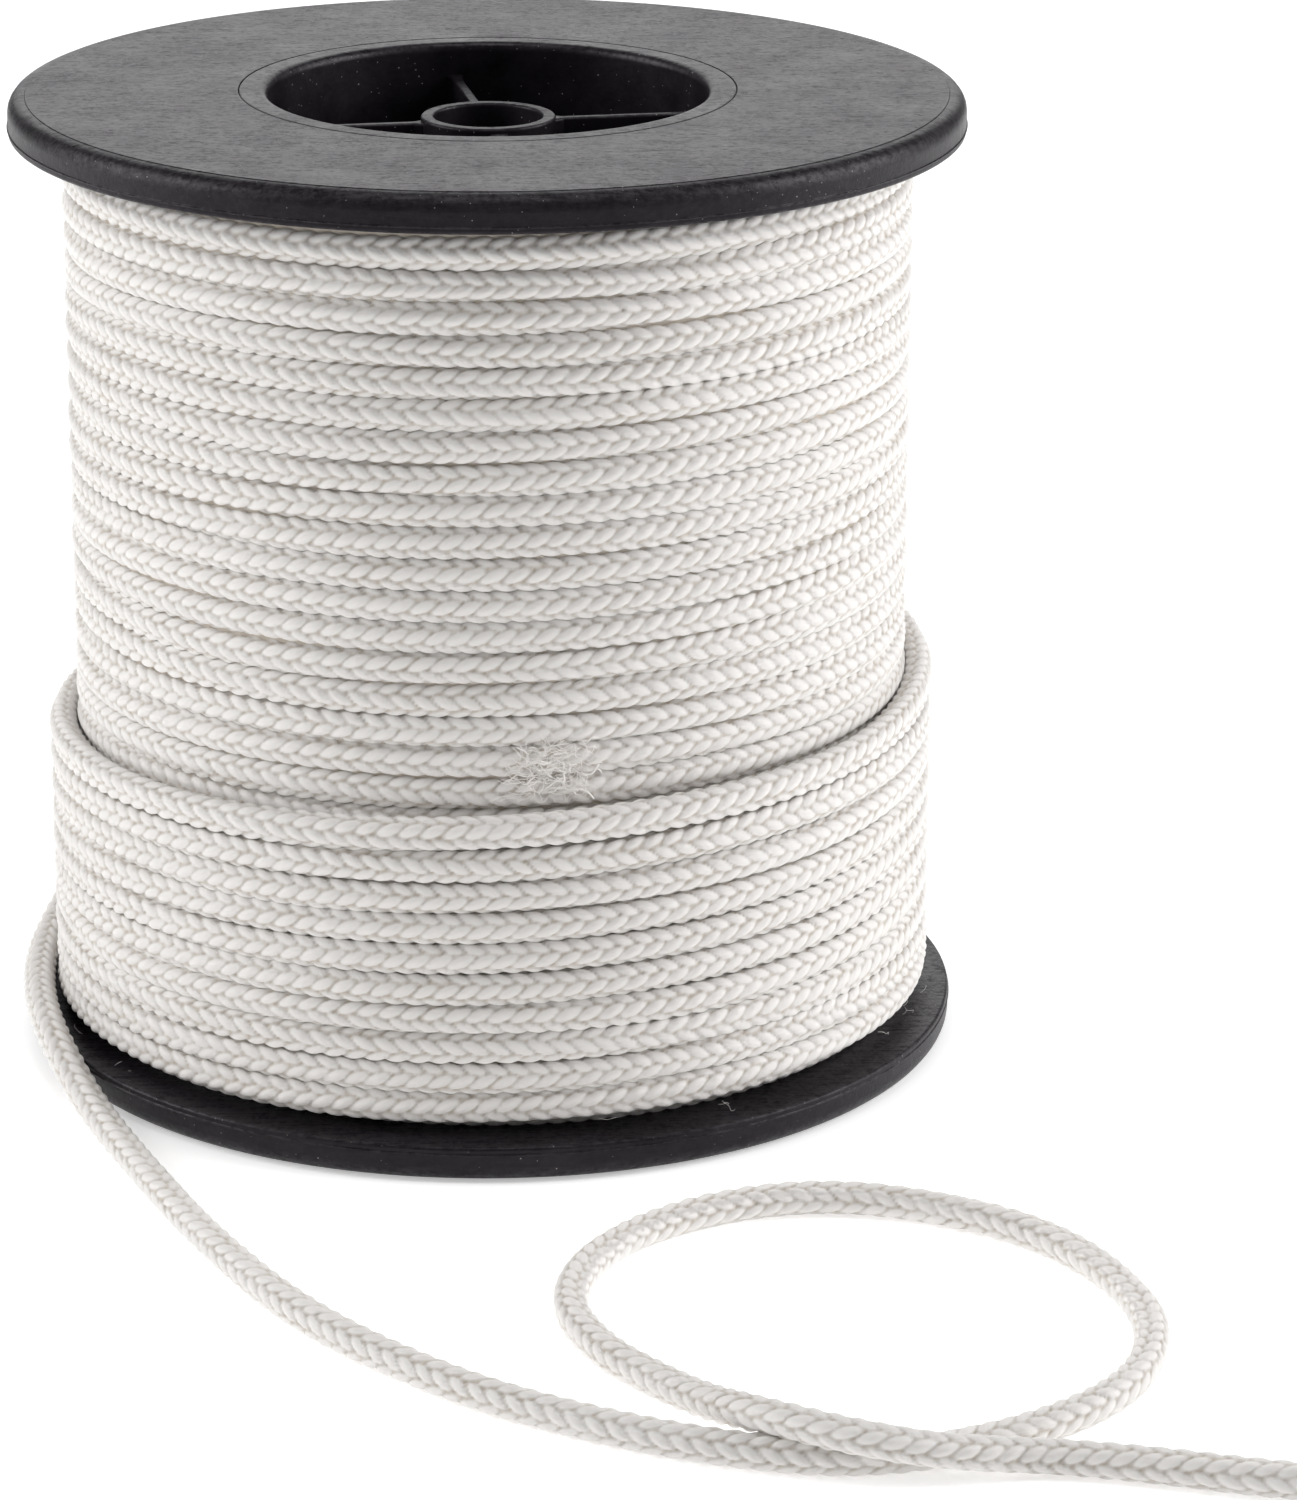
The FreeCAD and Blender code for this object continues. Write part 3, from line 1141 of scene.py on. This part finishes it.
class REEL_OT_free_end(bpy.types.Operator):
    """Lay the free end over the flange and along the table."""

    bl_idname = "reel.free_end"
    bl_label = "Free end"

    def execute(self, context):
        scene = context.scene
        cord = scene.reel_cord
        curve = bpy.data.curves.new("free_end_route", "CURVE")
        curve.dimensions = "3D"
        curve.resolution_u = 40
        spline = curve.splines.new("NURBS")
        spline.points.add(len(CORD_ROUTE) - 1)
        for point, place in zip(spline.points, CORD_ROUTE):
            point.co = (*place, 1.0)
        spline.order_u = 3
        spline.use_endpoint_u = True
        route = bpy.data.objects.new("free_end_route", curve)
        line = bpy.data.meshes.new_from_object(route)
        centre = np.array([v.co[:] for v in line.vertices])
        bpy.data.objects.remove(route)
        bpy.data.curves.remove(curve)
        bpy.data.meshes.remove(line)

        step = np.linalg.norm(np.diff(centre, axis=0), axis=1)
        run = np.concatenate([[0], np.cumsum(step)])
        rings = int(run[-1] / SECTION_STEP)
        even = np.linspace(0, run[-1], rings)
        centre = np.stack([np.interp(even, run, centre[:, i]) for i in range(3)], 1)

        # Carry the outward side along the route without adding any twist.
        tangent = np.gradient(centre, axis=0)
        tangent /= np.linalg.norm(tangent, axis=1)[:, None]
        outward = np.zeros_like(centre)
        side = np.array([centre[0, 0], centre[0, 1], 0.0])
        for i in range(rings):
            side = side - side.dot(tangent[i]) * tangent[i]
            side /= np.linalg.norm(side)
            outward[i] = side
        start = scene["reel_exit_distance"]
        angles = np.linspace(-math.pi, math.pi, FREE_COLUMNS + 1)
        mesh = braided_tube(
            "free_end",
            cord,
            centre,
            outward,
            start + even,
            angles,
            ROUND_SECTION,
            (TUCKED_START, SEALED_END),
        )
        piece = make_object("free_end", mesh, "cord_braid", "cord_tail")
        give(piece, bpy.data.materials["braided_polyester"])
        return {"FINISHED"}


def hair(curve, root, outward, along, length, rise, chance):
    """Add one curved fibre that leaves the cord at root and bends back to it."""
    spline = curve.splines.new("NURBS")
    spline.points.add(4)
    side = outward.cross(along)
    for i, point in enumerate(spline.points):
        t = i / 4
        lift = rise * math.sin(math.pi * min(t * 0.85, 1)) - 0.1 * MM * (i == 0)
        stray = side * length * 0.25 * t * chance.uniform(-1, 1)
        place = root + outward * lift + along * (length * t) + stray
        point.co = (*place, 1.0)
    spline.order_u = 3
    spline.use_endpoint_u = True


def hairs_to_mesh(curve, name):
    """Turn a curve of fibres into one mesh."""
    holder = bpy.data.objects.new(name, curve)
    mesh = bpy.data.meshes.new_from_object(holder)
    bpy.data.objects.remove(holder)
    bpy.data.curves.remove(curve)
    mesh.name = name
    return mesh


# Name, count, thickness, angles and heights of the roots, length and rise in mm.
FIBRES = (
    ("stray_fibres", 420, 0.014 * MM, (0, TURN), None, 2.6, 0.55),
    ("snag_fibres", 190, 0.035 * MM, (4.765, 4.935), (0.0405, 0.0462), 3.0, 0.9),
    ("snag_strands", 22, 0.11 * MM, (4.79, 4.92), (0.0412, 0.0452), 2.4, 0.7),
)


class REEL_OT_loose_fibres(bpy.types.Operator):
    """Raise stray fibres on the winding and the fuzzy snag at its front."""

    bl_idname = "reel.loose_fibres"
    bl_label = "Loose fibres"

    def execute(self, context):
        chance = np.random.default_rng(11)
        low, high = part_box("wound_cord")
        # The last layer's top turn slants; below this height it is whole all round.
        step_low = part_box("last_cord_layer")[1].z - 8 * MM
        material = filament_fuzz(context.scene.reel_finish.yarn, "filament_fuzz")
        for name, count, thickness, angles, heights, length, rise in FIBRES:
            heights = heights or (low.z, high.z)
            curve = bpy.data.curves.new(name, "CURVE")
            curve.dimensions = "3D"
            curve.resolution_u = 3
            curve.bevel_depth = thickness
            curve.bevel_resolution = 0
            curve.use_fill_caps = True
            for _ in range(count):
                angle = chance.uniform(*angles)
                height = chance.uniform(*heights)
                node = "last_cord_layer" if height < step_low else "wound_cord"
                radius = radius_of(node) - 0.15 * MM
                outward = Vector((math.cos(angle), math.sin(angle), 0))
                turn = chance.uniform(0, TURN)
                flat = Vector((-outward.y, outward.x, 0))
                along = flat * math.cos(turn) + Vector((0, 0, 1)) * math.sin(turn) * 0.6
                root = outward * radius + Vector((0, 0, height))
                size = chance.uniform(0.4, 1.0)
                hair(
                    curve,
                    root,
                    outward,
                    along,
                    length * size * MM,
                    rise * size * MM,
                    chance,
                )
            piece = make_object(name, hairs_to_mesh(curve, name), "cord_braid")
            give(piece, material)
        return {"FINISHED"}


class REEL_PT_panel(bpy.types.Panel):
    """The reel's pieces, in the order they are built."""

    bl_label = "Cord Reel"
    bl_idname = "REEL_PT_panel"
    bl_space_type = "VIEW_3D"
    bl_region_type = "UI"
    bl_category = "Cord Reel"

    def draw(self, context):
        for operator in OPERATORS:
            self.layout.operator(operator.bl_idname)
        for group in (context.scene.reel_spool, context.scene.reel_cord):
            for name in group.__annotations__:
                self.layout.prop(group, name)


OPERATORS = (
    REEL_OT_stage,
    REEL_OT_spool,
    REEL_OT_winding,
    REEL_OT_last_layer,
    REEL_OT_free_end,
    REEL_OT_loose_fibres,
)
GROUPS = (
    ("reel_spool", REEL_PG_spool),
    ("reel_cord", REEL_PG_cord),
    ("reel_finish", REEL_PG_finish),
)


def register():
    for name, group in GROUPS:
        bpy.utils.register_class(group)
        setattr(bpy.types.Scene, name, PointerProperty(type=group))
    for operator in OPERATORS:
        bpy.utils.register_class(operator)
    bpy.utils.register_class(REEL_PT_panel)


def unregister():
    bpy.utils.unregister_class(REEL_PT_panel)
    for operator in reversed(OPERATORS):
        bpy.utils.unregister_class(operator)
    for name, group in reversed(GROUPS):
        delattr(bpy.types.Scene, name)
        bpy.utils.unregister_class(group)


def main():
    register()
    bpy.ops.reel.stage()
    bpy.ops.reel.spool()
    bpy.ops.reel.winding()
    bpy.ops.reel.last_layer()
    bpy.ops.reel.free_end()
    bpy.ops.reel.loose_fibres()


if __name__ == "__main__":
    main()
